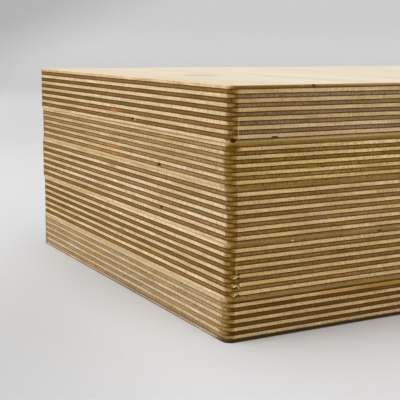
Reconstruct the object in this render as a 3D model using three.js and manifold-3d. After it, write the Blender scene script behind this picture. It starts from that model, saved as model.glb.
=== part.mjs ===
// A stack of five birch plywood sheets, sawn to one size, rounded at the corners and piled up by
// hand. A sheet is pressed from an odd number of veneers, each with its grain across the grain of
// the ones it is glued to. It is one piece, so it is one mesh, and the glue joints between its
// veneers show as fine lines cut into its four edges.
//
// Units are millimetres, with +Z up. X runs along the sheets and Y across them. The origin lies on
// the floor, under the middle of the stack.

import * as THREE from "three";
import { mergeVertices } from "three/addons/utils/BufferGeometryUtils.js";
import Module from "manifold-3d";

// ---- Driving dimensions ----------------------------------------------------------------------

const SHEET_LENGTH = 300; // along X
const SHEET_WIDTH = 174; // along Y
const CORNER_RADIUS = 3; // of the four upright corners
const ARRIS = 0.25; // what sanding takes off the rim of each face
const FACE_VENEER = 1.2; // the outer veneers are sanded, so they are thinner than the inner ones
const JOINT_HEIGHT = 0.14; // a glue joint, as it shows in the edge
const JOINT_DEPTH = 0.1; // how far the glue lies behind the edges of the veneers
const SHEET_GAP = 0.1; // the air between two sheets, which never lie quite flat

// The two kinds of sheet: the thin one is sold as 15 mm, and is at the low end of what that allows.
const THIN = { thickness: 14.3, veneers: 11 };
const THICK = { thickness: 18, veneers: 13 };

// From the floor up. The sheets are lined up at their front left corner, never quite exactly: a
// shift along X is in millimetres, and a turn about that corner is in degrees.
const SHEETS = [
  { name: "bottom_sheet", kind: THIN, shift: -0.32, turn: -0.17 },
  { name: "second_sheet", kind: THICK, shift: -0.04, turn: -0.11 },
  { name: "middle_sheet", kind: THICK, shift: 0.34, turn: 0.19 },
  { name: "fourth_sheet", kind: THIN, shift: -0.15, turn: -0.1 },
  { name: "top_sheet", kind: THICK, shift: 0.15, turn: 0.17 },
];

const CUT_CLEARANCE = 1; // how far a cutter reaches past the edge that it cuts
const CORNER_STEPS = 3; // three.js draws a quarter circle in twice this many straight steps

// ---- Booleans --------------------------------------------------------------------------------

const wasm = await Module();
wasm.setup();

// A closed three.js geometry as a solid that can be cut.
function toSolid(geometry) {
  const bare = geometry.clone().deleteAttribute("normal").deleteAttribute("uv");
  const merged = mergeVertices(bare);
  return new wasm.Manifold(
    new wasm.Mesh({
      numProp: 3,
      vertProperties: merged.getAttribute("position").array,
      triVerts: new Uint32Array(merged.index.array),
    }),
  );
}

// A solid as a three.js geometry, with each of its facets flat.
function toGeometry(solid) {
  const { vertProperties, triVerts } = solid.getMesh();
  const indexed = new THREE.BufferGeometry()
    .setAttribute("position", new THREE.BufferAttribute(vertProperties, 3))
    .setIndex(new THREE.BufferAttribute(triVerts, 1));
  const faceted = indexed.toNonIndexed();
  faceted.computeVertexNormals();
  return faceted;
}

// ---- One sheet, with its front left corner over the origin -------------------------------------

// The outline of a sheet from above, drawn in by an inset all round. It is four quarter circles,
// and three.js joins each to the one before it with a straight line.
function outline(inset) {
  const left = CORNER_RADIUS;
  const front = CORNER_RADIUS;
  const right = SHEET_LENGTH - CORNER_RADIUS;
  const back = SHEET_WIDTH - CORNER_RADIUS;
  const radius = CORNER_RADIUS - inset;
  const quarter = Math.PI / 2;
  return new THREE.Shape()
    .absarc(right, front, radius, -quarter, 0)
    .absarc(right, back, radius, 0, quarter)
    .absarc(left, back, radius, quarter, 2 * quarter)
    .absarc(left, front, radius, 2 * quarter, 3 * quarter);
}

// The sawn and sanded board, from its lower face at height 0 to its upper face.
function board(thickness) {
  return new THREE.ExtrudeGeometry(outline(0), {
    depth: thickness - 2 * ARRIS,
    curveSegments: CORNER_STEPS,
    bevelSegments: 1,
    bevelThickness: ARRIS,
    bevelSize: ARRIS,
    bevelOffset: -ARRIS,
  }).translate(0, 0, ARRIS);
}

// The frame round a board that, once taken away, leaves a glue joint at this height.
function jointFrame(height) {
  const frame = outline(-CUT_CLEARANCE);
  frame.holes.push(outline(JOINT_DEPTH));
  return new THREE.ExtrudeGeometry(frame, {
    depth: JOINT_HEIGHT,
    curveSegments: CORNER_STEPS,
    bevelEnabled: false,
  }).translate(0, 0, height - JOINT_HEIGHT / 2);
}

// A board with a glue joint between each two of its veneers.
function sheetGeometry({ thickness, veneers }) {
  const innerVeneer = (thickness - 2 * FACE_VENEER) / (veneers - 2);
  let sheet = toSolid(board(thickness));
  for (let joint = 0; joint < veneers - 1; joint += 1) {
    const frame = jointFrame(FACE_VENEER + joint * innerVeneer);
    sheet = sheet.subtract(toSolid(frame));
  }
  return toGeometry(sheet);
}

// ---- The stack -------------------------------------------------------------------------------

function birchPlywood() {
  return new THREE.MeshStandardMaterial({ color: 0xcfae7c, roughness: 0.75, metalness: 0 });
}

const stack = new THREE.Group();
let height = 0;
for (const { name, kind, shift, turn } of SHEETS) {
  const sheet = new THREE.Mesh(sheetGeometry(kind), birchPlywood());
  sheet.name = name;
  sheet.position.set(shift, 0, height);
  sheet.rotation.z = THREE.MathUtils.degToRad(turn);
  stack.add(sheet);
  height += kind.thickness + SHEET_GAP;
}

// The sheets reach out unequally, so the stack is centred by what they cover together.
const middle = new THREE.Box3().setFromObject(stack).getCenter(new THREE.Vector3());
stack.position.set(-middle.x, -middle.y, 0);

export default stack;
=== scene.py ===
# %% [markdown]
# # A stack of plywood sheets
#
# Five small sheets of birch plywood lie on a pale floor, one on another. A sheet is pressed from
# thin veneers that are peeled off a log, and the grain of each runs across the grain of the ones
# it is glued to. So along any side of the stack every other veneer shows the side of its fibres,
# which is pale, and the ones between show the cut ends of theirs, which are dark.
#
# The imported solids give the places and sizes. This script dresses them: each sheet gets one closed
# skin with real glue joints, pits and worn rims, and a finish made of nodes.

# %% Load the frame
import math
import random
from functools import partialmethod

import bmesh
import bpy
from mathutils import Matrix, Vector


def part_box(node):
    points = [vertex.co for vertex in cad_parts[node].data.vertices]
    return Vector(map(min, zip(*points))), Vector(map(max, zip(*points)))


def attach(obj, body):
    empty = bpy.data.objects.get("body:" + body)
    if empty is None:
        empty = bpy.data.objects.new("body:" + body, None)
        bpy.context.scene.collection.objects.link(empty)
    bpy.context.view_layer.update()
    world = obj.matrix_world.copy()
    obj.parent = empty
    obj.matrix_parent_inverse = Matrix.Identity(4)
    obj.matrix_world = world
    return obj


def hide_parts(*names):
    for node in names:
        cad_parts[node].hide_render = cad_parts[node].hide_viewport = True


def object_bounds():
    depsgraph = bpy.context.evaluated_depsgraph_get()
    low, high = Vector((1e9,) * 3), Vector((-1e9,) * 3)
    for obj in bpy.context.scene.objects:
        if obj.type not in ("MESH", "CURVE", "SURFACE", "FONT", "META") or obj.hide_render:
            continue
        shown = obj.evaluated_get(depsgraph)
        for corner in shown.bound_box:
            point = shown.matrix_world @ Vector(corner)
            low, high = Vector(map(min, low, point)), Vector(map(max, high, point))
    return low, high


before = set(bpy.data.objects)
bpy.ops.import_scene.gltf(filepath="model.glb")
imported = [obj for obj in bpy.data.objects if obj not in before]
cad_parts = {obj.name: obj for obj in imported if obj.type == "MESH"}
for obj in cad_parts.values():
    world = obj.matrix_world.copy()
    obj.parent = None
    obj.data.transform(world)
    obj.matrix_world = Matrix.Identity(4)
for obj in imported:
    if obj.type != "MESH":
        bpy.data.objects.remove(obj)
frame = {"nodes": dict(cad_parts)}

CAD_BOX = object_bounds()
print("solids:", ", ".join(frame["nodes"]))

# %% [markdown]
# ## Sizes
#
# Everything here is in metres, but a veneer is easier to think of in millimetres, so `MM` turns one
# into the other. The sheets repeat the sizes of the solids. Each sheet's place is not repeated: it
# is read from the box of its solid, which is centred on the sheet however the sheet is turned.

# %% Sizes of a sheet
MM = 0.001
SHEET_LENGTH = 300 * MM
SHEET_WIDTH = 174 * MM
CORNER_RADIUS = 3 * MM
FACE_VENEER = 1.2 * MM
JOINT_HEIGHT = 0.14 * MM
JOINT_DEPTH = 0.1 * MM
POINT_SPACING = 1.5 * MM  # from point to point along a straight side

# The number of veneers, and the sheet's turn in degrees, from the floor up.
SHEETS = {
    "bottom_sheet": {"veneers": 11, "turn": -0.17},
    "second_sheet": {"veneers": 13, "turn": -0.11},
    "middle_sheet": {"veneers": 13, "turn": 0.19},
    "fourth_sheet": {"veneers": 11, "turn": -0.1},
    "top_sheet": {"veneers": 13, "turn": 0.17},
}

STACK_HEIGHT = CAD_BOX[1].z
NEAR_CORNER = Vector((-SHEET_LENGTH / 2, -SHEET_WIDTH / 2, 0))
print(f"the stack is {STACK_HEIGHT / MM:.1f} mm high, its near corner at {NEAR_CORNER / MM} mm")

# %% [markdown]
# ## The camera
#
# It looks at the near upright corner from a little above the top sheet, and stands so close that
# the veneers run together towards the far ends. A camera at no turn looks straight down, so three
# turns aim it: it is rolled, tipped up from the vertical, and swung round.

# %% Camera
STAND_OFF = Vector((-149.2, -249.9, 96.8)) * MM  # from the near corner
SWING = math.radians(29.03)
TIP_DOWN = math.radians(9.68)
ROLL = math.radians(0.45)
SENSOR_WIDTH, FOCAL_LENGTH = 36, 84.45  # in millimetres, as on any camera
NEAREST, FARTHEST = 0.01, 20


def new_object(name, data):
    """An object in the scene. Most kinds of data need one before they can be seen or used."""
    made = bpy.data.objects.new(name, data)
    bpy.context.scene.collection.objects.link(made)
    return made


camera_data = bpy.data.cameras.new("camera")
camera_data.sensor_width = SENSOR_WIDTH
camera_data.lens = FOCAL_LENGTH
camera_data.clip_start = NEAREST
camera_data.clip_end = FARTHEST
camera = new_object("camera", camera_data)
stand = Matrix.Translation(NEAR_CORNER + STAND_OFF)
turn_round = Matrix.Rotation(-SWING, 4, "Z")
turn_up = Matrix.Rotation(math.pi / 2 - TIP_DOWN, 4, "X")
turn_level = Matrix.Rotation(ROLL, 4, "Z")
camera.matrix_world = stand @ turn_round @ turn_up @ turn_level
bpy.context.scene.camera = camera
print("the camera stands at", [round(value, 3) for value in camera.location])

# %% [markdown]
# ## A shorthand for node trees
#
# Geometry and materials are both made of nodes here, and a node tree written link by link hides
# its own meaning. `add` makes a node and plugs its inputs, `result` also picks what it gives, and a
# `Value` carries a number, vector or colour from one node to the next. Adding or multiplying values
# adds the Math nodes that do the sum, so a formula reads as a formula. The same lines work in both
# kinds of tree.

# %% Nodes by formula
def plug(value, socket):
    """Links a value's socket to this one, or sets the socket to a plain number, colour or name."""
    value = getattr(value, "socket", value)
    if isinstance(value, bpy.types.NodeSocket):
        socket.id_data.links.new(value, socket)
    elif socket.type == "RGBA":
        socket.default_value = (*value, 1)
    else:
        socket.default_value = value


def add(tree, kind, inputs, **settings):
    """A new node of this kind, with its settings made and its inputs plugged by name or number."""
    node = tree.nodes.new(kind)
    for name, setting in settings.items():
        setattr(node, name, setting)
    for name, value in inputs.items():
        plug(value, node.inputs[name])
    return node


def result(tree, kind, inputs, gives=0, **settings):
    """What a new node gives: its first output, or another one by name or number."""
    return Value(add(tree, kind, inputs, **settings).outputs[gives])


class Value:
    """A number, vector or colour on its way through a node tree."""

    def __init__(self, socket):
        self.socket = socket

    @property
    def tree(self):
        return self.socket.id_data

    def math(self, operation, *others):
        """A Math node that takes this number first. The names below fill in its operation."""
        inputs = dict(enumerate((self, *others)))
        return result(self.tree, "ShaderNodeMath", inputs, operation=operation)

    __add__ = partialmethod(math, "ADD")
    __sub__ = partialmethod(math, "SUBTRACT")
    __mul__ = partialmethod(math, "MULTIPLY")
    __truediv__ = partialmethod(math, "DIVIDE")
    __mod__ = partialmethod(math, "FLOORED_MODULO")
    floor = partialmethod(math, "FLOOR")
    sign = partialmethod(math, "SIGN")
    size = partialmethod(math, "ABSOLUTE")  # the number without its sign
    most = partialmethod(math, "MAXIMUM")
    least = partialmethod(math, "MINIMUM")
    above = partialmethod(math, "GREATER_THAN")
    below = partialmethod(math, "LESS_THAN")

    def equals(self, other):
        """1 where the two are alike, and 0 elsewhere."""
        return self.math("COMPARE", other, 0.5)

    def rest(self):
        """What is left of 1."""
        return self * -1 + 1

    def ramp(self, start, end, low=0.0, high=1.0):
        """Eases from low to high as the number goes from start to end, and stays there."""
        inputs = {0: self, 1: start, 2: end, 3: low, 4: high}
        return result(self.tree, "ShaderNodeMapRange", inputs, interpolation_type="SMOOTHSTEP")

    def vector_math(self, operation, inputs, gives="Vector"):
        """The same with vectors. An operation that gives a plain number calls it Value."""
        inputs = {0: self, **inputs}
        return result(self.tree, "ShaderNodeVectorMath", inputs, gives, operation=operation)

    def scaled(self, factor):
        return self.vector_math("SCALE", {"Scale": factor})

    def length(self):
        return self.vector_math("LENGTH", {}, "Value")

    def parts(self):
        """The X, Y and Z of a vector."""
        node = add(self.tree, "ShaderNodeSeparateXYZ", {0: self})
        return [Value(output) for output in node.outputs]


def vector(tree, x, y, z):
    return result(tree, "ShaderNodeCombineXYZ", {"X": x, "Y": y, "Z": z})


print("shorthand ready")

# %% [markdown]
# ### Noise
#
# Noise does here what chance does to wood: it moves joints, wears rims and mottles colours. A
# picture wrapped round the sheet could mottle it too, but it would stretch at the corners and
# blur close by. Noise is worked out from a point's place, so it does neither.
#
# `spread` is the size of its blotches, and one that is long one way gives fibres and streaks. What
# is added to a `seed` only keeps one noise from repeating another. Noise hovers round a half, so a
# ramp that starts there or above picks out its tops, as separate marks.

# %% Blotches
def shrunk(place, reach):
    """Shrinks space until the reach, in metres along X, Y and Z, is 1 each way."""
    return place.vector_math("MULTIPLY", {1: [1 / length for length in reach]})


def blotches(place, spread, seed, detail=2.0):
    """Noise from 0 to 1. Its spread is in millimetres along X, Y and Z."""
    scaled = shrunk(place, [length * MM for length in spread])
    inputs = {"Vector": scaled, "W": seed, "Scale": 1.0, "Detail": detail}
    return result(place.tree, "ShaderNodeTexNoise", inputs, noise_dimensions="4D")


print("noise ready")

# %% [markdown]
# ## The shape of a sheet
#
# A sheet's upper and lower faces are flat, and all its detail is in its rim: the edges of the
# veneers, the glue joints between them, and the worn arrises. That rim is the same all the way
# round, so it is drawn once as an *edge section* and swept round the outline by Geometry Nodes.
# Modelling the rim by hand would mean placing the same loops for every sheet, and a sheet with
# other veneers would have to be modelled again. Here it takes another number.
#
# The tree's inputs come first. Each has a name that shows in the modifier.

# %% Inputs of the sheet tree
sheet_tree = bpy.data.node_groups.new("plywood sheet", "GeometryNodeTree")
sheet_tree.is_modifier = True
GIVEN = {}


def declare(kind, *names):
    """Adds named inputs to the tree. GIVEN keeps the identifiers that set them in a modifier."""
    for name in names:
        socket_type = f"NodeSocket{kind}"
        socket = sheet_tree.interface.new_socket(name, in_out="INPUT", socket_type=socket_type)
        GIVEN[name] = socket.identifier


declare("Float", "Length", "Width", "Thickness", "Corner radius", "Face veneer")
declare("Float", "Joint height", "Joint depth", "Step", "Turn")
declare("Int", "Veneers")
declare("Float", "Seed")
declare("Vector", "Centre")
declare("Object", "Pits", "Splinters")
declare("Material", "Edge finish", "Face finish")
sheet_tree.interface.new_socket("Sheet", in_out="OUTPUT", socket_type="NodeSocketGeometry")
given_node = sheet_tree.nodes.new("NodeGroupInput")
given = {name: Value(given_node.outputs[name]) for name in GIVEN}
print("the sheet tree takes", ", ".join(GIVEN))

# %% [markdown]
# ### The outline
#
# A rectangle gets round corners from Fillet Curve. Its long sides then need points of their own,
# because the joints wave a little and a straight side with two ends could not. Resampling the
# curve would cut across the small corners, so the sides are subdivided instead: each point asks
# how far the next one is, and the stretch between them gets as many cuts as that length calls for.
#
# The curve's normal is stored as `outward`. The finish reads it later, to know which way a bit of
# edge faces.

# %% Outline with points where they are needed
CORNER_POINTS = 8


def geometry(kind, inputs, **settings):
    """What a geometry node gives."""
    return result(sheet_tree, f"GeometryNode{kind}", inputs, **settings)


def store(target, name, value, kind="FLOAT", domain="POINT"):
    """Writes a value on the geometry, under a name that materials can read."""
    inputs = {"Geometry": target, "Name": name, "Value": value}
    return geometry("StoreNamedAttribute", inputs, data_type=kind, domain=domain)


def stored(name, kind="FLOAT"):
    """Reads back what store has written under this name."""
    return geometry("InputNamedAttribute", {"Name": name}, data_type=kind)


def field(kind):
    """What a Position, Index or Normal node gives: it differs from point to point."""
    return geometry(f"Input{kind}", {})


def distance_to_next_point():
    here = field("Position")
    one_on = {"Point Index": field("Index"), "Offset": 1}
    next_point = geometry("OffsetPointInCurve", one_on, gives="Point Index")
    place_of = {"Index": next_point, "Value": here}
    there = geometry("FieldAtIndex", place_of, data_type="FLOAT_VECTOR")
    return here.vector_math("DISTANCE", {1: there}, "Value")


def sheet_outline():
    box = {"Width": given["Length"], "Height": given["Width"]}
    square = geometry("CurvePrimitiveQuadrilateral", box)
    corners = {"Curve": square, "Count": CORNER_POINTS, "Radius": given["Corner radius"]}
    rounded = geometry("FilletCurve", corners, mode="POLY")
    cuts = (distance_to_next_point() / given["Step"] - 1).most(0)
    divided = geometry("SubdivideCurve", {"Curve": rounded, "Cuts": cuts})
    return store(divided, "outward", field("Normal"), "FLOAT_VECTOR")


outline = sheet_outline()
print("outline ready")

# %% [markdown]
# ### The edge section
#
# From the lower face to the upper one, each veneer gives the section three points, at its lower
# corner, its middle and its upper corner, and each joint gives two more at the bottom of its
# groove. Two points at either end lead in over the face. All of them come from one Mesh Line: a
# point's number says which veneer it is on and which of the five places it takes. The last veneer
# has no joint above it, so its last two places are the points over the upper face.
#
# Three numbers are stored for the finish. `veneer` counts the veneers from the lower face, with
# the height within one as its fraction, `joint` is the distance to the nearest glue joint, and
# `from face` is the distance to the nearer of the sheet's two faces.

# %% Section through the veneers
FACE_MARGIN = 2.5 * MM  # how far the section reaches in over a face
RIM_WEAR = 0.12 * MM  # where the face starts to fall away to its arris
POINTS_A_VENEER = 5
LAST_ON_WOOD = 2  # places 0 to 2 are on the veneer, and the other two in the groove above it
LEAD_IN = 2
TOUCHING = 0.01 * MM
NEVER_A_JOINT = 9 * MM  # farther than any point is from a real joint


def veneer_levels(veneer):
    """The heights of a veneer's two sides. The outer ones are thinner than the rest."""
    inner = (given["Thickness"] - given["Face veneer"] * 2) / (given["Veneers"] - 2)
    bottom = (given["Face veneer"] + (veneer - 1) * inner).most(0)
    top = (given["Face veneer"] + veneer * inner).least(given["Thickness"])
    return bottom, top


def height_at(place, bottom, top):
    """The height of each of the five places on a veneer."""
    half_joint = given["Joint height"] / 2
    in_groove = half_joint / 2
    on_wood = (bottom + half_joint, (bottom + top) / 2, top - half_joint)
    levels = (*on_wood, top - in_groove, top + in_groove)
    height = place.equals(0) * levels[0]
    for step, level in enumerate(levels[1:], 1):
        height = height + place.equals(step) * level
    return height


def nearest_joint(height, bottom, top):
    """The distance to the nearest joint. A veneer's outer side, on a face, is not a joint."""
    from_bottom = height - bottom + bottom.below(TOUCHING) * NEVER_A_JOINT
    from_top = top - height + top.above(given["Thickness"] - TOUCHING) * NEVER_A_JOINT
    return from_bottom.size().least(from_top.size())


def edge_section():
    number = field("Index")
    last = given["Veneers"] * POINTS_A_VENEER + 1
    on_veneers = number - LEAD_IN
    veneer = (on_veneers / POINTS_A_VENEER).floor().most(0).least(given["Veneers"] - 1)
    place = on_veneers - veneer * POINTS_A_VENEER
    bottom, top = veneer_levels(veneer)

    on_upper_face = number.above(last - LEAD_IN)
    on_face = number.below(LEAD_IN) + on_upper_face
    at_an_end = number.least(last - number).equals(0)
    over_face = at_an_end * (FACE_MARGIN - RIM_WEAR) + RIM_WEAR
    height = height_at(place, bottom, top) * on_face.rest() + on_upper_face * given["Thickness"]
    groove = place.above(LAST_ON_WOOD) * given["Joint depth"]
    depth = groove * on_face.rest() + on_face * over_face

    section = geometry("MeshLine", {"Count": last + 1})
    section = store(section, "veneer", veneer + (height - bottom) / (top - bottom))
    section = store(section, "joint", nearest_joint(height, bottom, top))
    section = store(section, "from face", height.least(given["Thickness"] - height))
    position = vector(sheet_tree, depth * -1, height * -1, 0)
    shaped = geometry("SetPosition", {"Geometry": section, "Position": position})
    return geometry("MeshToCurve", {"Mesh": shaped})


band = geometry("CurveToMesh", {"Curve": outline, "Profile Curve": edge_section()})
print("section swept round the outline")

# %% [markdown]
# ### Waves and worn rims
#
# A veneer is peeled from a log, and no two are quite even, so the joints wander up and down by a
# tenth of a millimetre as they run along an edge. Noise moves them, less and less towards the two
# faces, which stay flat. The same step lets each veneer stand back by a few hundredths, the
# way end grain and side grain come out of a saw unequally, and wears the arrises away in places.
# Bump in the finish could shade such waves, but it would leave every joint as straight as a ruler.

# %% Waves and wear
WAVE = 0.16 * MM
WAVE_SPREAD = (28, 28, 7)
STAND_BACK = 0.05 * MM
STAND_BACK_SPREAD = (9, 9, 60)
RIM_CHIPS = 0.16 * MM
CHIP_SPREAD = (1.3, 1.3, 40)
ARRIS_SHARE = 0.2 / 14  # of the thickness: only what lies this close to a face is worn
CLEAR_OF_JOINTS = 0.3 * MM
ON_FACE = 0.0001


def roughened(band):
    """Moves the rim's points. All but the first noise only move them inwards."""
    here = field("Position")
    up = here.parts()[2] / given["Thickness"]
    inside = (up * up.rest() * 4).least(1)
    wander = blotches(here, WAVE_SPREAD, given["Seed"]) * 2 - 1
    own_seed = stored("veneer").floor() * 5 + given["Seed"]
    back = blotches(here, STAND_BACK_SPREAD, own_seed) * STAND_BACK
    near_face = (up - 0.5).size().above(0.5 - ARRIS_SHARE)
    arris = near_face * stored("joint").above(CLEAR_OF_JOINTS) * inside.below(ON_FACE).rest()
    worn = arris * blotches(here, CHIP_SPREAD, given["Seed"] + 7).ramp(0.52, 0.75) * RIM_CHIPS
    outwards = (back * inside + worn * 0.5) * -1
    toward_middle = (up * -1 + 0.5).sign() * worn
    lift = vector(sheet_tree, 0, 0, wander * inside * WAVE + toward_middle)
    offset = stored("outward", "FLOAT_VECTOR").scaled(outwards).vector_math("ADD", {1: lift})
    return geometry("SetPosition", {"Geometry": band, "Offset": offset})


rim = roughened(band)
print("joints wander by up to", WAVE / MM, "mm")

# %% [markdown]
# ### The faces
#
# The swept rim is open above and below. Its two boundary loops are alike, so Fill Curve closes one
# of them, and a flipped copy closes the other. Merging by distance welds both to the rim, which
# makes the skin closed: the pits are cut from it next, and only a closed skin has an inside.
#
# `past rim` is stored as well, for the finish of the faces, which changes colour near their rim.

# %% Close the skin
WELD = 0.002 * MM


def closed(rim):
    """Adds the two faces. An edge with one neighbouring face is on a boundary."""
    open_edge = field("MeshEdgeNeighbors").equals(1)
    low = field("Position").parts()[2].below(given["Thickness"] / 2)
    loop = geometry("MeshToCurve", {"Mesh": rim, "Selection": open_edge * low})
    lower = geometry("FillCurve", {"Curve": loop}, mode="NGONS")
    upper = geometry("FlipFaces", {"Mesh": lower})
    lift = {"Geometry": upper, "Translation": vector(sheet_tree, 0, 0, given["Thickness"])}
    lifted = geometry("Transform", lift)
    pieces = sheet_tree.nodes.new("GeometryNodeJoinGeometry")
    for piece in (lower, lifted, rim):
        plug(piece, pieces.inputs[0])
    weld = {"Geometry": pieces.outputs[0], "Distance": WELD}
    return geometry("MergeByDistance", weld)


def measured(board):
    """Stores how far a point lies outside the sheet's plain rectangle: below 0 on the faces."""
    across, along, _ = field("Position").parts()
    past = (across.size() - given["Length"] / 2).most(along.size() - given["Width"] / 2)
    return store(board, "past rim", past)


board = measured(closed(rim))
print("faces closed")

# %% [markdown]
# ### Pits and splinters
#
# Core veneers are cheap wood: they have open knots and gaps that show as dark slots where the
# sheet is cut. A knocked corner also has splinters, fibres that have torn loose at one end.
# Painted, both would look flat from the side, so they are shapes. A mesh of loose points says
# where. Geometry Nodes puts a small ball on each, turns it by the point's `lean`, stretches it by
# its `reach` and makes it ragged with noise. Taken away from the sheet, balls leave pits. Added
# to it, long thin ones are splinters.
#
# The attributes `pit` and `splinter` are written on the balls' faces and stay there when the shapes
# are cut and joined, so that the finish can colour them: a pit dark, with painted shade in its hollow,
# and a splinter pale. They also show where the border of a mark runs: an edge between a marked face
# and a plain one reads about a half.

# %% Cut the pits and add the splinters
CREASE = math.radians(35)
PIT_BUMPS, PIT_RAGGED = 900.0, 0.9 * MM  # bumps to a metre of the noise, and how far it shoves
SPLINTER_BUMPS, SPLINTER_RAGGED = 2200.0, 0.35 * MM


def ragged_balls(item, mark, bumps, raggedness):
    """Balls on the item's points, shoved out of round by noise, with a mark on their faces."""
    points = geometry("ObjectInfo", {0: item}, gives="Geometry")
    reach, lean = stored("reach", "FLOAT_VECTOR"), stored("lean", "FLOAT_VECTOR")
    ball = geometry("MeshIcoSphere", {"Radius": 1.0, "Subdivisions": 4})
    placed = {"Points": points, "Instance": ball, "Rotation": lean, "Scale": reach}
    balls = geometry("InstanceOnPoints", placed)
    real = geometry("RealizeInstances", {"Geometry": balls})
    noise = {"Vector": field("Position"), "Scale": bumps, "Detail": 2.0}
    shove = result(sheet_tree, "ShaderNodeTexNoise", noise, "Color")
    shift = shove.vector_math("SUBTRACT", {1: (0.5, 0.5, 0.5)}).scaled(raggedness)
    ragged = geometry("SetPosition", {"Geometry": real, "Offset": shift})
    return store(ragged, mark, 1.0, domain="FACE")


def boolean(operation, inputs, *others):
    """Cuts or joins closed meshes. The node's second input takes any number of them."""
    settings = {"operation": operation, "solver": "MANIFOLD"}
    node = add(sheet_tree, "GeometryNodeMeshBoolean", inputs, **settings)
    for other in others:
        plug(other, node.inputs[1])
    return Value(node.outputs[0])


def creased(board):
    """Smooth shading, with a crease at each sharp edge and round each pit and splinter."""
    smooth = geometry("SetShadeSmooth", {"Geometry": board, "Shade Smooth": True})
    marked = stored("pit") + stored("splinter")
    border = marked.above(0.01) * marked.below(0.99)
    crease = field("MeshEdgeAngle").above(CREASE).most(border)
    sharp = {"Geometry": smooth, "Selection": crease, "Shade Smooth": False}
    return geometry("SetShadeSmooth", sharp, domain="EDGE")


gaps = ragged_balls(given["Pits"], "pit", PIT_BUMPS, PIT_RAGGED)
pitted = boolean("DIFFERENCE", {0: board}, gaps)
fibres = ragged_balls(given["Splinters"], "splinter", SPLINTER_BUMPS, SPLINTER_RAGGED)
splintered = boolean("UNION", {}, pitted, fibres)
print("pits cut and splinters added")

# %% [markdown]
# ### Into its place in the stack
#
# The sheet has been made about its own centre. It is turned a fraction of a degree and moved to
# where it lies, as nobody stacks sheets exactly square. The two finishes are given out last: a
# bit of surface that looks straight up or down is a face, and the rest is edge.

# %% Place and finish
NEARLY_LEVEL = 0.995


def in_place(cut_board):
    """Turns and moves the sheet, and gives it its two finishes."""
    turn = vector(sheet_tree, 0, 0, given["Turn"])
    move = {"Geometry": cut_board, "Translation": given["Centre"], "Rotation": turn}
    placed = geometry("Transform", move)
    real = geometry("RealizeInstances", {"Geometry": placed})
    edged = {"Geometry": real, "Material": given["Edge finish"]}
    edge = geometry("SetMaterial", edged)
    level = field("Normal").parts()[2].size().above(NEARLY_LEVEL)
    faced = {"Geometry": edge, "Selection": level, "Material": given["Face finish"]}
    return geometry("SetMaterial", faced)


add(sheet_tree, "NodeGroupOutput", {0: in_place(creased(splintered))})
print("the sheet tree has", len(sheet_tree.nodes), "nodes")

# %% [markdown]
# ## The stage
#
# Raw sheets look best as a workshop catalogue shows them: on a pale sweep, with no corner behind
# them to draw the eye. The sweep is a wide dish. Its floor is flat under the stack and curls up
# all round, so it is the background from every side. A spun profile gives that curl with a few
# points, where a plane and four walls would leave creases.

# %% Pale sweep
SWEEP_FLOOR = ((0.0, 0.0), (0.9, 0.0), (1.5, 0.0))  # metres from the middle, and up
SWEEP_CURL = ((1.75, 0.03), (1.95, 0.12), (2.1, 0.3), (2.2, 0.6), (2.25, 1.1))
SPOKES = 96
SPIN_WELD = 0.1 * MM


def spun(name, profile, spokes):
    """A surface made by turning a profile of (radius, height) round the upright axis."""
    shape = bmesh.new()
    line = [shape.verts.new((radius, 0, height)) for radius, height in profile]
    edges = [shape.edges.new(pair) for pair in zip(line, line[1:])]
    once = {"cent": (0, 0, 0), "axis": (0, 0, 1), "angle": math.tau, "steps": spokes}
    bmesh.ops.spin(shape, geom=line + edges, **once)
    bmesh.ops.remove_doubles(shape, verts=shape.verts, dist=SPIN_WELD)
    bmesh.ops.recalc_face_normals(shape, faces=shape.faces)
    if shape.faces[0].normal.z < 0:
        bmesh.ops.reverse_faces(shape, faces=shape.faces)
    for face in shape.faces:
        face.smooth = True
    mesh = bpy.data.meshes.new(name)
    shape.to_mesh(mesh)
    shape.free()
    return new_object(name, mesh)


sweep = spun("sweep", SWEEP_FLOOR + SWEEP_CURL, SPOKES)
print("the sweep is", round(sweep.dimensions.x, 2), "m across")

# %% [markdown]
# ### Starting a material
#
# A material's nodes are written with the same shorthand. Every material here ends in a Principled
# shader, which can be wood, glue or paint by its numbers alone, so one helper starts them all.

# %% Start a material
def new_finish(name, **fixed):
    """Gives a material, its shader and each point's place. Fixed numbers go on the sockets."""
    material = bpy.data.materials.new(name)
    material.use_nodes = True
    shader = material.node_tree.nodes["Principled BSDF"]
    for socket_name, value in fixed.items():
        shader.inputs[socket_name.replace("_", " ")].default_value = value
    return material, shader, result(material.node_tree, "ShaderNodeTexCoord", {}, "Object")


def mixed(amount, first, second, blend="MIX"):
    """The first colour where the amount is 0, and the second where it is 1."""
    inputs = {0: amount, 6: first, 7: second}
    settings = {"data_type": "RGBA", "blend_type": blend}
    return result(amount.tree, "ShaderNodeMix", inputs, 2, **settings)


def relief(height, distance):
    """A normal that makes the height, from 0 to 1, look this many metres high."""
    inputs = {"Height": height, "Distance": distance, "Strength": 1.0}
    return result(height.tree, "ShaderNodeBump", inputs)


print("materials can be started")

# %% [markdown]
# ### Paint for the sweep
#
# The light and shade on the sweep are painted into its colour: a painted shade at the stack's near
# left, painted light behind the stack, paint that is almost white further back, and painted shade on
# the curl at its left and its top. So one sweep does for a grey floor and a white wall, with no line
# between them.

# %% Paint the sweep
FLOOR_PAINT = ((0.56, 0.56, 0.575), (0.59, 0.59, 0.605))
# Painted shade at the stack's near left, painted light behind it, and the near-white far floor.
NEAR_LEFT_SHADE, LIGHT_BEHIND, FAR_BACK = (0.48, 0.48, 0.49), (0.66, 0.66, 0.66), (0.9, 0.9, 0.9)
# The wall's paint, low and high: painted shade towards its top.
WALL_PAINT_AND_SHADE = ((0.96, 0.96, 0.96), (0.86, 0.86, 0.86))
# Painted shade on the curl, to the left and high up.
WALL_LEFT_SHADE = (0.64, 0.64, 0.64)


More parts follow.
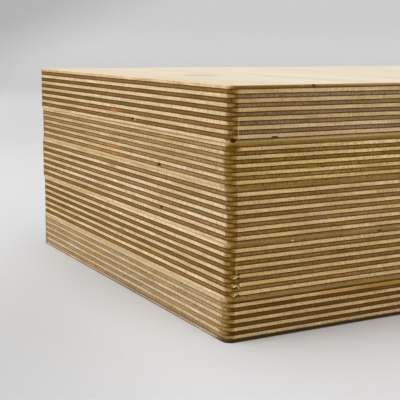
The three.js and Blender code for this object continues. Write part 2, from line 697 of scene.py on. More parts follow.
def painted_sweep():
    """The sweep's paint, with its light and shade painted in. Its distances are in metres from the
    middle of the stack.
    """
    material, shader, place = new_finish("board with painted light and shade", Specular_IOR_Level=0.25)
    mottle = blotches(place, (500, 500, 500), 1.0, 3.0)
    orange_peel = blotches(place, (4, 4, 4), 2.0)
    across, along, up = place.parts()
    # Painted shade at the stack's near left, then painted light behind it.
    near_left_shade = (along * 0.5 - across).ramp(0.11, 0.19) * along.ramp(-0.06, 0.12, 1.0, 0.0)
    floor = mixed(near_left_shade, mixed(mottle, *FLOOR_PAINT), NEAR_LEFT_SHADE)
    floor = mixed(along.ramp(0.0, 0.22), floor, LIGHT_BEHIND)
    floor = mixed(along.ramp(0.5, 1.3), floor, FAR_BACK)
    # Painted shade towards the top of the curl and at its left.
    wall = mixed(up.ramp(0.05, 0.17), *WALL_PAINT_AND_SHADE)
    wall = mixed((across - up * 2.5).ramp(0.0, 0.4, 1.0, 0.0), wall, WALL_LEFT_SHADE)
    from_middle = vector(place.tree, across, along, 0).length()
    plug(mixed(from_middle.ramp(1.45, 1.75), floor, wall), shader.inputs["Base Color"])
    plug(orange_peel.ramp(0.2, 0.8, 0.55, 0.68), shader.inputs["Roughness"])
    plug(relief(orange_peel, 0.02 * MM), shader.inputs["Normal"])
    return material


sweep.data.materials.append(painted_sweep())
print("sweep painted")

# %% [markdown]
# ### The light
#
# A big soft light hangs over the stack, a little to the left, and a second one stands at its left,
# so the left side is bright, the right side is in a half shade and the shadow beneath stays soft.
# A weak warm light in front keeps the shaded side from going grey. The light is kept even: wood is
# judged by its colour, and a hard light would hide it in contrast.

# %% Soft studio light
LAMPS = {
    "overhead": {"place": (-0.4, 0.1, 1.45), "width": 1.6, "power": 18, "colour": (1, 1, 1)},
    "from the left": {"place": (-1.5, 0.1, 0.7), "width": 1, "power": 12.8, "colour": (0.97, 0.99, 1)},
    "front fill": {"place": (0.3, -1.7, 0.8), "width": 1, "power": 8.8, "colour": (1, 0.91, 0.68)},
}
ROOM_COLOUR, ROOM_STRENGTH = (0.95, 0.97, 1.0), 0.35


def soft_light(name, place, width, power, colour):
    """A round lamp that looks at the foot of the stack."""
    lamp = bpy.data.lights.new(name, "AREA")
    lamp.shape = "DISK"
    lamp.size = width
    lamp.energy = power
    lamp.color = colour
    made = new_object(name, lamp)
    made.location = place
    made.rotation_euler = (-Vector(place)).to_track_quat("-Z", "Y").to_euler()


for name, facts in LAMPS.items():
    soft_light(name, **facts)
room = bpy.data.worlds.new("pale room")
room.use_nodes = True
plug(ROOM_COLOUR, room.node_tree.nodes["Background"].inputs["Color"])
plug(ROOM_STRENGTH, room.node_tree.nodes["Background"].inputs["Strength"])
bpy.context.scene.world = room
bpy.context.scene.view_settings.view_transform = "Standard"
print("lights:", ", ".join(LAMPS))

# %% [markdown]
# ## The finish of a cut edge
#
# A sawn plywood edge is two kinds of wood in turn. Where a veneer's fibres run along the edge,
# they show pale and smooth, with fine streaks. Where they run into the edge, the saw has opened
# their ends, which drink light and look dark brown, speckled by pores. Which is which depends on
# the side of the sheet: the veneer that is pale here is dark round the corner.
#
# So the finish doesn't paint stripes. It reads what is stored on the skin. `veneer` tells whether
# a veneer's number is odd or even, and `outward` which way the edge faces. An odd veneer runs
# along X, so it darkens as the outline turns to face a side. An even one runs along Y: it is dark
# on the front and the back, and stays dark for some millimetres round the handled corner. There it
# fades slowly at first and then fast, and each veneer has a reach of its own.

# %% Read the skin's attributes
def attribute(tree, name, output="Fac"):
    """What is stored on the skin under this name."""
    return result(tree, "ShaderNodeAttribute", {}, output, attribute_name=name)


def one_log_each(veneer, seed):
    """A random number from 0 to 1 that is the same all over one veneer."""
    inputs = {"W": veneer.floor() + seed * 20}
    return result(veneer.tree, "ShaderNodeTexWhiteNoise", inputs, noise_dimensions="1D")


def from_front(place):
    """How far a point is from the plane of the front, or of the back where that is nearer."""
    return place.parts()[1].size() * -1 + SHEET_WIDTH / 2


def end_grain_share(place, veneer, facing, look, seed):
    """How far fibres run into the edge, from 0 to 1, and whether the veneer runs along X."""
    along_x = veneer.floor() % 2
    ragged = blotches(place, (0.5, 0.5, 0.4), seed + 15).ramp(0.3, 0.7, 0.8, 1.2)
    stretch = one_log_each(veneer, seed + 60) * 0.5 + 0.75
    inwards = from_front(place) * ragged * stretch
    reach = look["corner"]
    slow = inwards.ramp(0.0, reach * 0.4, 1.0, look["corner ends"])
    along_y_ends = slow * inwards.ramp(reach * 0.65, reach, 1.0, 0.0)
    along_x_ends = (facing[0].size() * ragged).ramp(0.02, 0.75)
    return along_x * along_x_ends + along_x.rest() * along_y_ends, along_x


print("attributes can be read")

# %% [markdown]
# ### Pale wood and end grain
#
# Each kind of wood starts from two close colours, and a random number for every veneer picks
# between them, because each veneer came from another log. `shaded` then makes whole veneers
# lighter or darker than their neighbours, as in any stack. Long streaks, short flecks and ticks
# across the fibres go over the pale wood. The end grain gets pores and knife checks, which are
# small splits from the peeling. It darkens beside a joint, where it has soaked up glue, and is
# drier and paler at the sheet's two faces, where there is no glue. All of it is noise in layers: a
# picture of wood would show the same check on every sheet.

# %% The two kinds of wood
CLOUD, STREAK, BLUSH = (20, 20, 1.5), (8, 8, 0.2), (16, 16, 2)
TICK, FLECK = (0.3, 0.3, 4), (0.5, 0.5, 0.35)
PORE, CHECK, PATCH = (0.17, 0.17, 0.17), (0.45, 0.45, 0.6), (11, 11, 1.5)
LIGHTER, DARKER = (1.26, 1.25, 1.4), (0.74, 0.75, 0.62)


def one_of(along_x, pair):
    """The first number for veneers that run along Y, and the second for those along X."""
    return along_x * (pair[1] - pair[0]) + pair[0]


def shaded(colour, place, veneer, strength, seed):
    """Makes each veneer a little lighter or darker than the next, and uneven along its length."""
    uneven = blotches(place, (14, 14, 1.5), veneer.floor() * 11 + seed).ramp(0.35, 0.65)
    shade = (one_log_each(veneer, seed + 40) + uneven) * 0.5
    return mixed(strength, colour, mixed(shade, LIGHTER, DARKER), "MULTIPLY")


def pale_wood(place, veneer, along_x, log, look, seed):
    """The colour of side grain, and its height for the bump."""
    cloud = blotches(place, CLOUD, veneer.floor() * 3 + seed).ramp(0.4, 0.65, 0.0, 0.8)
    streak = blotches(place, STREAK, seed, 3.0)
    tick = blotches(place, TICK, veneer.floor() * 5 + seed, 1.0)
    fleck = blotches(place, FLECK, seed + 5, 3.0)
    blush = blotches(place, BLUSH, veneer.floor() * 7 + seed).ramp(0.5, 0.65, 0.0, 0.4)
    colour = mixed(along_x, mixed(log, *look["side pale"]), mixed(log, *look["front pale"]))
    colour = mixed(cloud, colour, look["tinge"])
    colour = mixed(blush, colour, look["blush"])
    colour = mixed(streak.ramp(0.5, 0.75, 0.0, 0.4), colour, look["streak"])
    colour = mixed(tick.ramp(0.5, 0.64) * one_of(along_x, look["ticks"]), colour, look["streak"])
    speckled = fleck.ramp(0.44, 0.68) * one_of(along_x, look["flecks"])
    return mixed(speckled, colour, look["streak"]), streak + tick * 0.5


def end_grain(place, along_x, log, joint, from_face, look, seed):
    """The colour of end grain, and how deep its holes are."""
    pore = blotches(place, PORE, seed + 9, 2.0)
    check = blotches(place, CHECK, seed + 11, 1.0)
    patch = blotches(place, PATCH, log * 9 + seed).ramp(0.35, 0.65)
    which = log * 0.4 + patch * 0.6
    colour = mixed(along_x, mixed(which, *look["front ends"]), mixed(which, *look["side ends"]))
    colour = mixed(pore.ramp(0.48, 0.68, 0.0, 0.6), colour, look["pores"])
    colour = mixed(check.ramp(0.46, 0.66) * one_of(along_x, look["checks"]), colour, look["pores"])
    colour = mixed(check.ramp(0.3, 0.48, 0.1, 0.0), colour, look["tinge"])
    dry = from_face.ramp(0.1 * MM, 0.75 * MM, look["dry"], 0.0)
    colour = mixed(dry, colour, look["dry ends"])
    soaked = joint.ramp(0.16 * MM, 0.44 * MM).rest() * one_of(along_x, look["soaked"])
    return mixed(soaked, colour, look["glue"]), pore + check * 0.6


print("wood ready")

# %% [markdown]
# ### Glue, hands and stains
#
# The glue line is thin and nearly black, with gaps where the glue ran short. The corners have been
# handled: their grime is brown in some patches and a greasy yellow in others, and reaches a few
# millimetres round on to the sides. The wood is darker and yellower towards some of its ends.
# Stains are lumps of colour: each has a centre, a reach along X, Y and Z, a colour and a strength,
# and noise makes its rim ragged. Painted on the sheets by hand, they would have to be painted
# again after every change of size, but a lump stays where it is in the stack.

# %% Later marks
def glued(colour, joint, place, facing, look, seed):
    """Draws the glue lines."""
    line = joint.ramp(0.08 * MM, 0.15 * MM, 1.0, 0.0)
    run_short = blotches(place, (2.5, 2.5, 2.5), seed + 13).ramp(0.3, 0.6, 0.7, 1.0)
    at_side = facing[0].size().above(facing[1].size())
    return mixed(line * run_short * one_of(at_side, look["glue shows"]), colour, look["glue"])


def handled(colour, place, facing, look, seed):
    """Puts grime and dark specks on the upright corners."""
    patch = blotches(place, (1.2, 1.2, 0.9), seed + 17, 2.0)
    speck = blotches(place, (0.4, 0.4, 0.3), seed + 18, 1.0).ramp(0.5, 0.62, 0.0, 0.6)
    worn_edge = from_front(place) * patch.ramp(0.3, 0.7, 0.7, 1.3)
    at_corner = worn_edge.ramp(0.0, look["corner"] * 1.3, 1.0, 0.0)
    corner = at_corner * facing[0].size().ramp(0.01, 0.2)
    grime = mixed(patch.ramp(0.36, 0.54), look["grime"], look["greasy"])
    colour = mixed(corner * patch.ramp(0.3, 0.6, 1.0, 0.8), colour, grime, "MULTIPLY")
    return mixed(corner * speck, colour, look["glue"])


def darker_yellower_at_end(colour, from_end, reach, tint):
    """Darker and yellower wood: most at the end, and less and less over the reach from it."""
    return mixed(from_end.ramp(0.0, reach, 1.0, 0.0), colour, tint, "MULTIPLY")


def stained(colour, place, stains, seed):
    """Lays each stain over the colour, out to its reach and a little beyond."""
    ragged = blotches(place, (1.5, 1.5, 0.6), seed, 3.0) * 0.9
    for centre, reach, tint, strength in stains:
        away = shrunk(place.vector_math("SUBTRACT", {1: centre}), reach).length() + ragged
        colour = mixed(away.ramp(0.9, 1.6, strength, 0.0), colour, tint)
    return colour


print("marks ready")

# %% [markdown]
# ### The edge finish
#
# It puts these together in the order in which wood, glue, hands and stains came on a real edge, with
# the darker, yellower ends laid on after the glue. Its bump follows the same noises as its colours, so
# a dark pore is also a small hole.

# %% Edge finish
# A pit's inside is dark wood with painted shade in its hollow; a splinter is pale wood.
PIT_WOOD_AND_SHADE, SPLINTER_PALE = (0.1, 0.04, 0.008), (0.7, 0.55, 0.22)
LEFT_END_REACH, LEFT_END = 65 * MM, (0.88, 0.86, 0.77)
FAR_END_REACH = 90 * MM
FAR_AWAY = 1.0


def only_facing(axis):
    """Nothing where the edge faces along this axis, and a long way where it faces across it."""
    return axis.size().ramp(0.0, 1.0, FAR_AWAY, 0.0)


def edge_finish(name, look, stains, seed):
    """A sheet's sawn edge. The look holds the colours of its wood."""
    material, shader, place = new_finish(name, Specular_IOR_Level=0.06)
    tree = place.tree
    veneer, joint = attribute(tree, "veneer"), attribute(tree, "joint")
    facing = attribute(tree, "outward", "Vector").parts()
    into, along_x = end_grain_share(place, veneer, facing, look, seed)
    log = one_log_each(veneer, seed)
    pale, streaks = pale_wood(place, veneer, along_x, log, look, seed)
    from_face = attribute(tree, "from face")
    ends, holes = end_grain(place, along_x, log, joint, from_face, look, seed)
    wood = shaded(mixed(into, pale, ends), place, veneer, into * 0.5 + 0.5, seed)
    colour = glued(wood, joint, place, facing, look, seed)

    across, along, _ = place.parts()
    from_left_end = across + SHEET_LENGTH / 2 + only_facing(facing[1])
    colour = darker_yellower_at_end(colour, from_left_end, LEFT_END_REACH, LEFT_END)
    from_far_end = along * -1 + SHEET_WIDTH / 2 + only_facing(facing[0])
    colour = darker_yellower_at_end(colour, from_far_end, FAR_END_REACH, look["far end"])
    colour = handled(colour, place, facing, look, seed)
    colour = stained(colour, place, stains, seed + 19)
    colour = mixed(attribute(tree, "splinter"), colour, SPLINTER_PALE)
    # The walls of a pit: dark wood, with painted shade in the hollow.
    plug(mixed(attribute(tree, "pit"), colour, PIT_WOOD_AND_SHADE), shader.inputs["Base Color"])
    plug(holes.ramp(0.5, 1.2, 0.66, 0.85), shader.inputs["Roughness"])
    height = streaks * (into * -0.4 + 0.4) + holes * into
    plug(relief(height, 0.07 * MM), shader.inputs["Normal"])
    return material


print("edge finish ready")

# %% [markdown]
# ### The finish of a face
#
# A face veneer is peeled from the log like paper from a roll, so its figure is long, wandering flames,
# drawn out along the grain. Two noises do this: one bends the other's place, which turns round
# blotches into flames. Fine fibres, short dark pores and a few pin knots lie over it. A face's rim has
# its own colour: a painted shade on most sheets, whose rims lie under the sheet above, and a pale
# painted highlight on the top one.

# %% Face finish
FLAMES, FIBRES, FACE_PORES = (13, 190, 50), (0.5, 28, 5), (0.25, 3.5, 5)
BENDING, BEND = (60, 160, 60), 50 * MM  # the spread of the bends, and how far they go
PLAIN = ((0.77, 0.69, 0.56), (0.71, 0.62, 0.485))
FLAME_BROWN, FIBRE_BROWN, PORE_BROWN = (0.6, 0.43, 0.25), (0.55, 0.39, 0.22), (0.36, 0.23, 0.12)
KNOT_BROWN, KNOTS_A_METRE = (0.24, 0.13, 0.06), 21.0
FACE_END_REACH, FACE_END = 60 * MM, (0.93, 0.87, 0.82)


def pin_knots(tree, across, along, up, seed):
    """The distance to the nearest knot. Knots are longer along the grain than across it."""
    place = vector(tree, across, along * 0.6, up)
    inputs = {"Vector": place, "Scale": KNOTS_A_METRE, "Randomness": 1.0, "W": seed}
    return result(tree, "ShaderNodeTexVoronoi", inputs, "Distance", voronoi_dimensions="4D")


def face_finish(name, look, marks, seed):
    """The upper or lower face of a sheet."""
    material, shader, place = new_finish(name, Specular_IOR_Level=0.2)
    tree = place.tree
    across, along, up = place.parts()
    bend = blotches(place, BENDING, seed, 1.0) * BEND
    bent = vector(tree, across + bend, along, up)
    flames = blotches(bent, FLAMES, seed + 1, 3.0)
    fibres = blotches(bent, FIBRES, seed + 2, 3.0)
    pores = blotches(bent, FACE_PORES, seed + 3, 2.0)
    colour = mixed(blotches(place, (90, 200, 90), seed + 4, 2.0), *PLAIN)
    colour = mixed(flames.ramp(0.5, 0.72, 0.0, 0.4), colour, FLAME_BROWN)
    colour = mixed(fibres.ramp(0.48, 0.75, 0.0, 0.35), colour, FIBRE_BROWN)
    colour = mixed(pores.ramp(0.62, 0.74, 0.0, 0.4), colour, PORE_BROWN)
    knot = pin_knots(tree, across, along, up, seed).ramp(0.02, 0.05, 0.7, 0.0)
    colour = mixed(knot, colour, KNOT_BROWN)
    colour = darker_yellower_at_end(colour, across + SHEET_LENGTH / 2, FACE_END_REACH, FACE_END)
    colour = stained(colour, place, marks, seed + 5)
    # The rim's colour is painted light: painted shade on lower sheets, under the sheet above, and a
    # painted highlight on the top sheet.
    rim = attribute(tree, "past rim").ramp(-1.8 * MM, -0.6 * MM)
    plug(mixed(rim * look["rim shade and highlight strength"], colour, look["rim"]), shader.inputs["Base Color"])
    plug(rim.most(fibres.ramp(0.3, 0.8, 0.42, 0.55)), shader.inputs["Roughness"])
    plug(relief(fibres * 0.7 + pores * 0.5, 0.04 * MM), shader.inputs["Normal"])
    return material


print("face finish ready")

# %% [markdown]
# ## Colours of each sheet
#
# The stack came from more than one batch, so the sheets share one set of colours and each changes
# a few of them. Where an entry has two colours, a veneer's random number picks between them.
# Where it has two numbers, they are for veneers along Y and along X, or with `glue shows` for
# the front and the sides: a batch with pale side ends shows less of its glue there.
#
# - `tinge`, `blush`, `streak`, `ticks` and `flecks` are marks on pale wood, `pores` and `checks`
#   on end grain. `soaked` is the glue in it, and `dry` how much of `dry ends` its faces show.
# - `corner` is how far round the corner dark ends reach, and `corner ends` how dark they stay on
#   the way. `grime` and `greasy` are what hands left there.
# - `rim` is the colour of a face's rim: painted shade under the sheet above, and a painted highlight
#   on the top sheet. `far end` makes the far end of the sides darker and yellower.

# %% Colours of the wood
BIRCH = {
    "front pale": ((0.875, 0.64, 0.345), (0.825, 0.63, 0.275)),
    "side pale": ((0.76, 0.595, 0.39), (0.73, 0.555, 0.34)),
    "front ends": ((0.315, 0.17, 0.072), (0.285, 0.176, 0.038)),
    "side ends": ((0.26, 0.139, 0.052), (0.22, 0.136, 0.028)),
    "tinge": (0.62, 0.42, 0.19), "blush": (0.82, 0.62, 0.43),
    "streak": (0.36, 0.23, 0.08), "pores": (0.1, 0.05, 0.01),
    "ticks": (0.7, 0.45), "flecks": (0.55, 0.7), "checks": (0.7, 0.6),
    "glue": (0.1, 0.036, 0.001), "glue shows": (1.0, 1.0), "soaked": (0.8, 0.8),
    "dry": 0.45, "dry ends": (0.52, 0.36, 0.13),
    "corner": 3.2 * MM, "corner ends": 0.8,
    "grime": (0.71, 0.52, 0.2), "greasy": (0.77, 0.71, 0.22),
    # The rim colour here is a painted shade, where a rim lies under the sheet above.
    "rim": (0.6, 0.44, 0.24), "rim shade and highlight strength": 0.9, "far end": (0.9, 0.88, 0.8),
}
LOOKS = {
    "top_sheet": {
        "front pale": ((0.72, 0.555, 0.355), (0.69, 0.54, 0.29)),
        "side pale": ((0.75, 0.58, 0.36), (0.72, 0.54, 0.3)),
        "front ends": ((0.32, 0.2, 0.13), (0.285, 0.206, 0.092)),
        "side ends": ((0.235, 0.118, 0.04), (0.18, 0.12, 0.024)),
        # The top sheet's rim colour is a pale painted highlight.
        "rim": (0.86, 0.78, 0.62), "rim shade and highlight strength": 0.8, "dry": 0.75,
    },
    "fourth_sheet": {
        "front pale": ((0.9, 0.7, 0.44), (0.88, 0.69, 0.27)),
        "side pale": ((0.7, 0.525, 0.34), (0.66, 0.5, 0.28)),
        "front ends": ((0.355, 0.185, 0.065), (0.3, 0.205, 0.025)),
        "side ends": ((0.4, 0.22, 0.09), (0.32, 0.215, 0.08)),
        "dry": 0.35, "dry ends": (0.5, 0.36, 0.08), "soaked": (0.8, 0.6), "glue shows": (1.0, 0.85),
        "flecks": (0.55, 0.95), "checks": (0.8, 0.6), "grime": (0.8, 0.62, 0.25), "corner": 3.6 * MM,
    },
    "middle_sheet": {
        "side pale": ((0.79, 0.62, 0.42), (0.76, 0.585, 0.37)),
        "side ends": ((0.295, 0.166, 0.058), (0.237, 0.16, 0.049)),
        "corner": 3.0 * MM,
    },
    "second_sheet": {
        "front pale": ((0.81, 0.595, 0.31), (0.76, 0.57, 0.24)),
        "side pale": ((0.81, 0.63, 0.41), (0.78, 0.605, 0.36)),
        "corner": 3.1 * MM, "corner ends": 0.6, "dry": 0.3,
    },
    "bottom_sheet": {
        "front pale": ((0.75, 0.56, 0.34), (0.705, 0.53, 0.26)),
        "side pale": ((0.585, 0.465, 0.33), (0.55, 0.445, 0.28)),
        "front ends": ((0.165, 0.077, 0.017), (0.12, 0.075, 0.013)),
        "side ends": ((0.43, 0.295, 0.147), (0.39, 0.275, 0.127)),
        "dry": 0.8, "dry ends": (0.45, 0.29, 0.09), "soaked": (1.0, 0.4), "glue shows": (1.0, 0.6),
        "flecks": (0.55, 0.8), "grime": (0.7, 0.57, 0.33), "far end": (1, 1, 1),
        "corner": 4.6 * MM, "corner ends": 0.45,
    },
}
print(len(LOOKS), "looks")

# %% [markdown]
# ### Pits and splinters, and where they are
#
# A mark is placed as a joiner would measure it, in millimetres: along a side from the near
# corner, and up from the floor. Its half length, half height and half depth come next. `front`
# and `side` turn these into a centre and a reach in the stack. Hidden sides get pits of their own
# from a seeded random draw, so the stack bears looking at all round.

# %% Where the pits and splinters are
def front(along, up, length, height, depth=1.0):
    """The centre and reach of a mark on the front."""
    centre = (NEAR_CORNER.x + along * MM, NEAR_CORNER.y, up * MM)
    return centre, (length * MM, depth * MM, height * MM)


def side(along, up, length, height, depth=1.0):
    """The same on the side that faces left."""
    centre = (NEAR_CORNER.x, NEAR_CORNER.y + along * MM, up * MM)
    return centre, (depth * MM, length * MM, height * MM)


HIDDEN_PITS, SHARE_AT_BACK = 26, 0.6
KNOCKED_OFF = (NEAR_CORNER.x + 1.5 * MM, NEAR_CORNER.y + 0.6 * MM, 65.75 * MM)

PITS = [
    (KNOCKED_OFF, (0.9 * MM, 0.9 * MM, 0.6 * MM)),
    front(31.3, 82.7, 0.8, 0.35, 0.5), front(61, 32, 1.3, 0.3, 0.5),
    front(16.8, 66.3, 0.6, 0.2, 0.3), side(49.4, 52.6, 1.5, 0.5, 0.6),
    side(47.8, 37.4, 1.5, 0.5, 0.6), side(71.8, 67.3, 1.2, 0.5, 0.6),
    side(31.6, 12.8, 0.7, 0.25, 0.3), side(109.5, 2.2, 1.0, 0.3, 0.3),
]
# The draw keeps clear of the corners, the floor and the upper face, in millimetres.
chance = random.Random(7)
for _ in range(HIDDEN_PITS):
    at_back = chance.random() < SHARE_AT_BACK
    x = chance.uniform(-140, 140) if at_back else SHEET_LENGTH / 2 / MM
    y = SHEET_WIDTH / 2 / MM if at_back else chance.uniform(-78, 78)
    place = (x * MM, y * MM, chance.uniform(2, 81) * MM)
    like = front if at_back else side
    _, reach = like(0, 0, chance.uniform(0.6, 2.4), chance.uniform(0.25, 0.6))
    PITS.append((place, reach))

SPLINTERS = [  # with the lean of each, in degrees
    (*front(2.9, 21.8, 1.2, 0.15, 0.3), -24), (*front(2.5, 19, 0.7, 0.14, 0.5), -38),
    (*front(3.4, 18.75, 0.8, 0.14, 0.35), 40), (*front(2.8, 16, 1.15, 0.15, 0.35), -26),
]
print(len(PITS), "pits and", len(SPLINTERS), "splinters")

# %% [markdown]
# ### Stains
#
# Spots of resin and mould, rubbed patches and spilt glue are short stains. A whole veneer that is
# dirtier or yellower than its neighbours is a stain too: a long one, no higher than the veneer. Two
# thin dark ones on the side lie along seams between sheets: they are painted shade in the gap.
# The last two run along the floor: dirt that has crept up the lowest sheet, together with a painted
# contact shadow where it stands on the floor. Marks on the upper face have no side to be measured
# along, so they are placed from the middle, in metres.

# %% Where the stains are
ORANGE, RED_BROWN, OLIVE = (0.55, 0.25, 0.05), (0.32, 0.13, 0.04), (0.3, 0.215, 0.015)
PURPLE, WHITISH, SMOKE = (0.22, 0.12, 0.1), (0.66, 0.56, 0.4), (0.2, 0.14, 0.06)
# The last of these is dirt and a painted contact shadow at the floor.
PALE_TANGENT_LINE, TREACLE, CONTACT_SHADE_AND_DIRT = (0.75, 0.58, 0.3), (0.17, 0.1, 0.01), (0.035, 0.025, 0.012)

STAINS = [
    (*side(88.7, 69.2, 3.4, 1.0), (0.5, 0.2, 0.07), 0.7),
    (*side(91.7, 55.5, 8, 1.1), ORANGE, 0.35), (*side(35, 56.4, 9, 0.9), ORANGE, 0.35),
    (*side(91.7, 47.3, 5, 0.7), PURPLE, 0.6), (*side(139.2, 47.2, 6, 0.8), WHITISH, 0.4),
    (*side(81.8, 22.5, 5, 1.4), SMOKE, 0.6), (*side(69.5, 67.3, 0.8, 0.7), WHITISH, 0.35),
    (*side(2, 82.6, 3.5, 0.9), (0.75, 0.4, 0.2), 0.6), (*side(22.3, 83, 4, 0.9), OLIVE, 0.4),
    (*front(41, 12.5, 7, 0.6), ORANGE, 0.6), (*front(68, 12.4, 28, 0.8), (0.39, 0.2, 0.03), 0.95),
    (*front(30.2, 51.9, 4, 0.6), OLIVE, 0.6), (*front(31.7, 55.7, 4, 0.6), OLIVE, 0.6),
    (*front(38.7, 64.2, 5, 0.6), OLIVE, 0.6), (*front(7.4, 64.6, 5, 0.5), OLIVE, 0.25),
    (*front(21.8, 53.2, 6, 0.5), RED_BROWN, 0.6), (*front(36.2, 38.9, 3, 0.6), PURPLE, 0.7),
    (*front(60, 32, 16, 0.6), (0.2, 0.14, 0.05), 0.6),
    (*front(24.5, 31.9, 0.7, 0.25), (0.8, 0.62, 0.4), 0.9),
    (*front(1, 63.4, 3.4, 1.5, 3), (0.115, 0.055, 0.002), 0.9),
    (*front(8, 63, 3.5, 0.5), (0.75, 0.48, 0.16), 0.6),
    # Painted shade in seams between sheets: under the top sheet, and near the corner between the
    # second and middle sheets.
    (*side(55, 64.75, 85, 0.4), (0.3, 0.18, 0.05), 0.75),
    (*side(12, 32.45, 22, 0.3), (0.35, 0.22, 0.08), 0.5),
    (*side(40, 1.35, 75, 0.65), (0.16, 0.11, 0.055), 0.75),
    (*side(95, 15, 60, 0.7), (0.47, 0.34, 0.16), 0.8),
    (*side(80, 13.8, 90, 0.7), (0.64, 0.46, 0.29), 0.45),
    (*front(15, 82.5, 45, 0.7), (0.17, 0.085, 0.02), 0.9),
    # A pale line down the front where the round of the corner meets it, on two sheets.
    (*front(3, 69.5, 0.25, 5), PALE_TANGENT_LINE, 0.3), (*front(3, 24, 0.25, 4.5), PALE_TANGENT_LINE, 0.3),
    (*front(60, 65.4, 60, 0.55), (0.5, 0.37, 0.19), 0.6), (*front(60, 64.3, 70, 0.6), TREACLE, 0.65),
    (*front(110, 83, 130, 0.75), (0.62, 0.36, 0.13), 0.75),
    # Painted contact shadow and dirt along the foot of the lowest sheet, on the front and the side.
    ((0, NEAR_CORNER.y, 0), (0.6, 0.01, 0.0018), CONTACT_SHADE_AND_DIRT, 0.88),
    ((NEAR_CORNER.x, 0, 0), (0.01, 0.15, 0.0007), CONTACT_SHADE_AND_DIRT, 0.7),
]
FACE_MARKS = [
    ((-0.117, -0.009, STACK_HEIGHT), (0.009, 0.012, 0.01), (0.48, 0.35, 0.22), 0.6),
    ((-0.012, -0.02, STACK_HEIGHT), (0.009, 0.014, 0.01), (0.5, 0.4, 0.26), 0.35),
]
print(len(STAINS), "stains on the edges and", len(FACE_MARKS), "on the upper face")

# %% [markdown]
# ## Unwrapping a skin
#
# A closed skin that other programs will use needs a map of its surface, called a UV map. Blender
# can make one by itself, but it would cut the rim into hundreds of islands. The rim is really a
# ribbon, so it is laid out as one: its run round the sheet goes along the map, its height goes
# up, and it is folded once to fit. The two faces lie beside each other above the ribbon.

# %% Lay out the rim and faces
MAP_NAME = "OFBake"
RIBBON_TALL = 0.14
RIBBON_END, RIBBON_SIDE = 0.005, 0.007  # the space left free round each half of the ribbon
FACE_SCALE = 2.3  # map widths to a metre
UPPER_FACE, LOWER_FACE, FACES_UP = 0.72, 0.25, 0.645  # the middles of the faces on the map
EDGE = 0  # the edge finish is the first of a skin's two materials


def run_round(x, y, half, depth, radius):
    """How far round the outline a point is. Turns the sheet until its side is in front."""
    run = 0.0
    for _ in range(4):
        past_end, past_front = x - half, -y - depth
        if past_front > 0 and past_end > 0:
            return run + half * 2 + math.atan2(past_end, past_front) * radius
        if past_front > 0 and x >= -half:
            return run + half + x
        run += half * 2 + math.pi / 2 * radius
        x, y, half, depth = y, -x, depth, half
    return run


def unwrapped(mesh, to_sheet, thickness):
    """Gives the mesh its map."""
    half, depth = SHEET_LENGTH / 2 - CORNER_RADIUS, SHEET_WIDTH / 2 - CORNER_RADIUS
    whole = (half + depth) * 4 + math.tau * CORNER_RADIUS
    points = [to_sheet @ vertex.co for vertex in mesh.vertices]
    runs = [run_round(point.x, point.y, half, depth, CORNER_RADIUS) for point in points]
    layer = mesh.uv_layers.new(name=MAP_NAME)
    for face in mesh.polygons:
        middle = to_sheet @ face.center
        run = run_round(middle.x, middle.y, half, depth, CORNER_RADIUS)
        fold = int(run > whole / 2)
        for loop in face.loop_indices:
            number = mesh.loops[loop].vertex_index
            point = points[number]
            if face.material_index == EDGE:
                its_run = runs[number] + round((run - runs[number]) / whole) * whole
                across = RIBBON_END + (its_run / whole * 2 - fold) * (1 - RIBBON_END * 2)
                up = RIBBON_SIDE + point.z / thickness * (RIBBON_TALL - RIBBON_SIDE * 2)
                up += RIBBON_TALL * fold
            else:
                face_middle = UPPER_FACE if middle.z > thickness / 2 else LOWER_FACE
                across = point.y * FACE_SCALE + face_middle
                up = point.x * FACE_SCALE + FACES_UP
            layer.data[loop].uv = (across, up)


print("the ribbon is folded once")

# %% [markdown]
# ## Sharing out the marks
#
# The marks were placed in the stack, and each sheet has to know its own. A pit or a stain belongs
# to every sheet whose box it lies in or comes close to, so one at a seam marks both. A splinter is
# wood of one sheet, and belongs to the one it lies in. Pits and splinters go to the sheet tree as
# loose points, because that is what it can put balls on.

# %% Share out the marks
STAIN_SPARE, MARK_SPARE = 2 * MM, 1 * MM  # how far outside a sheet's box a mark can still reach it


def own(marks, low, high, spare):
    """The marks whose centre lies in this box, or no farther outside it than the spare."""
    def inside(centre):
        return all(low[axis] - spare <= centre[axis] <= high[axis] + spare for axis in range(3))

    return [mark for mark in marks if inside(mark[0])]


def loose_points(name, marks, to_sheet):
    """A mesh of points with no faces. Each mark is (place, reach, lean), in metres and degrees."""
    mesh = bpy.data.meshes.new(name)
    mesh.from_pydata([to_sheet @ Vector(place) for place, _, _ in marks], [], [])
    reach = mesh.attributes.new("reach", "FLOAT_VECTOR", "POINT")
    lean = mesh.attributes.new("lean", "FLOAT_VECTOR", "POINT")
    for number, (_, size, slant) in enumerate(marks):
        reach.data[number].vector = size
        lean.data[number].vector = (0, math.radians(slant), 0)
    return new_object(name, mesh)


print("marks can be shared out")

# %% [markdown]
# ## Five sheets
#
# Each sheet is an empty object with the sheet tree on it. The tree's inputs are set by their
# identifiers, as a modifier keeps them under those. Then the finished shape is copied to a plain
# mesh and the modifier is gone: the piece that rides with the solid is an ordinary closed mesh,
# which other programs can read.

# %% Make a sheet
def finished_mesh(maker, values):
    """What the sheet tree makes of these values, as a plain mesh."""
    modifier = maker.modifiers.new("sheet", "NODES")
    modifier.node_group = sheet_tree
    for name, value in values.items():
        modifier[GIVEN[name]] = value
    maker.update_tag()
    evaluated = maker.evaluated_get(bpy.context.evaluated_depsgraph_get())
    return bpy.data.meshes.new_from_object(evaluated)


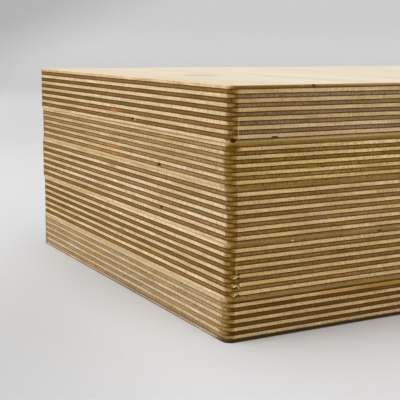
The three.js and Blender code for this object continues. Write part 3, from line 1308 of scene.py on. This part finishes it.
def sheet_skin(node, veneers, turn, seed):
    """One sheet's skin, in its place in the stack."""
    low, high = (Vector(corner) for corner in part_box(node))
    centre = Vector(((low.x + high.x) / 2, (low.y + high.y) / 2, low.z))
    from_sheet = Matrix.Translation(centre) @ Matrix.Rotation(math.radians(turn), 4, "Z")
    to_sheet = from_sheet.inverted()
    own_pits = [(*pit, 0) for pit in own(PITS, low, high, MARK_SPARE)]
    pits = loose_points(f"{node} pits", own_pits, to_sheet)
    splinters = loose_points(f"{node} splinters", own(SPLINTERS, low, high, 0), to_sheet)
    look = {**BIRCH, **LOOKS[node]}
    stains = own(STAINS, low, high, STAIN_SPARE)
    face_marks = own(FACE_MARKS, low, high, MARK_SPARE)
    maker = new_object(f"{node} maker", bpy.data.meshes.new(f"{node} maker"))
    mesh = finished_mesh(maker, {
        "Length": SHEET_LENGTH, "Width": SHEET_WIDTH, "Thickness": high.z - low.z,
        "Corner radius": CORNER_RADIUS, "Face veneer": FACE_VENEER, "Joint height": JOINT_HEIGHT,
        "Joint depth": JOINT_DEPTH, "Step": POINT_SPACING, "Turn": math.radians(turn),
        "Veneers": veneers, "Seed": float(seed), "Centre": centre, "Pits": pits,
        "Splinters": splinters, "Edge finish": edge_finish(f"{node} edge", look, stains, seed),
        "Face finish": face_finish(f"{node} face", look, face_marks, seed),
    })
    unwrapped(mesh, to_sheet, high.z - low.z)
    for spent in (maker, pits, splinters):
        bpy.data.objects.remove(spent)
    return new_object(f"plywood_{node}", mesh)


print("sheet maker ready")

# %% [markdown]
# The five are made from the floor up. Each rides on the stack's one body and takes the place of
# its solid, which stays for collisions.

# %% Make the stack
for number, (node, facts) in enumerate(SHEETS.items(), 1):
    skin = sheet_skin(node, facts["veneers"], facts["turn"], number)
    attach(skin, "root")
    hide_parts(node)
    print(skin.name, len(skin.data.polygons), "faces")

# %% [markdown]
# ## Up to date
#
# The dressed stack has to be as big as its solids. Last, the scene is brought up to date.

# %% Bring the scene up to date
bpy.context.view_layer.update()
